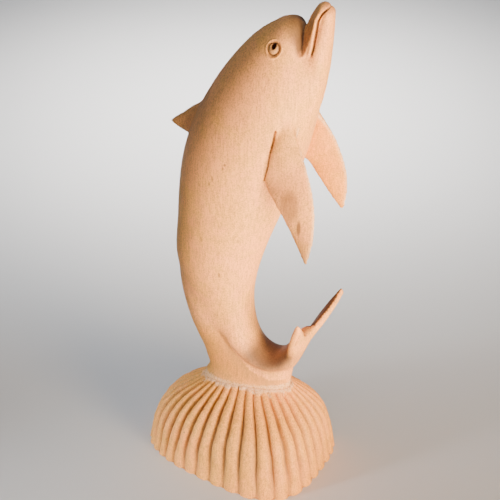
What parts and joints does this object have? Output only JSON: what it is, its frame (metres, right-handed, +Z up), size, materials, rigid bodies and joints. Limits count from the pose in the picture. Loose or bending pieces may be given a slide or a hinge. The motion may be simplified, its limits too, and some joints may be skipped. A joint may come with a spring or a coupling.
{
  "type": "carved wooden dolphin figurine",
  "caption": "One-piece wooden carving of a leaping dolphin, belly out and snout up, balanced on its curled tail above a domed, fluted base that stands on its flat underside",
  "frame": {"origin": "centre of the bounding box in plan, on the flat underside of the base", "axes": "+Z up; +X is the side the dolphin's belly faces; -Y is the flank seen in the picture; the middle plane of the dolphin is Y constant"},
  "size_m": [0.0948, 0.0732, 0.25],
  "materials": {
    "pale_wood": "bare pale wood, sanded smooth on the body with knife facets at the fins and tail, soft satin, small dark pores, dark painted pupils"
  },
  "bodies": {
    "root": {"dolphin_carving": "pale_wood"}
  },
  "joints": []
}
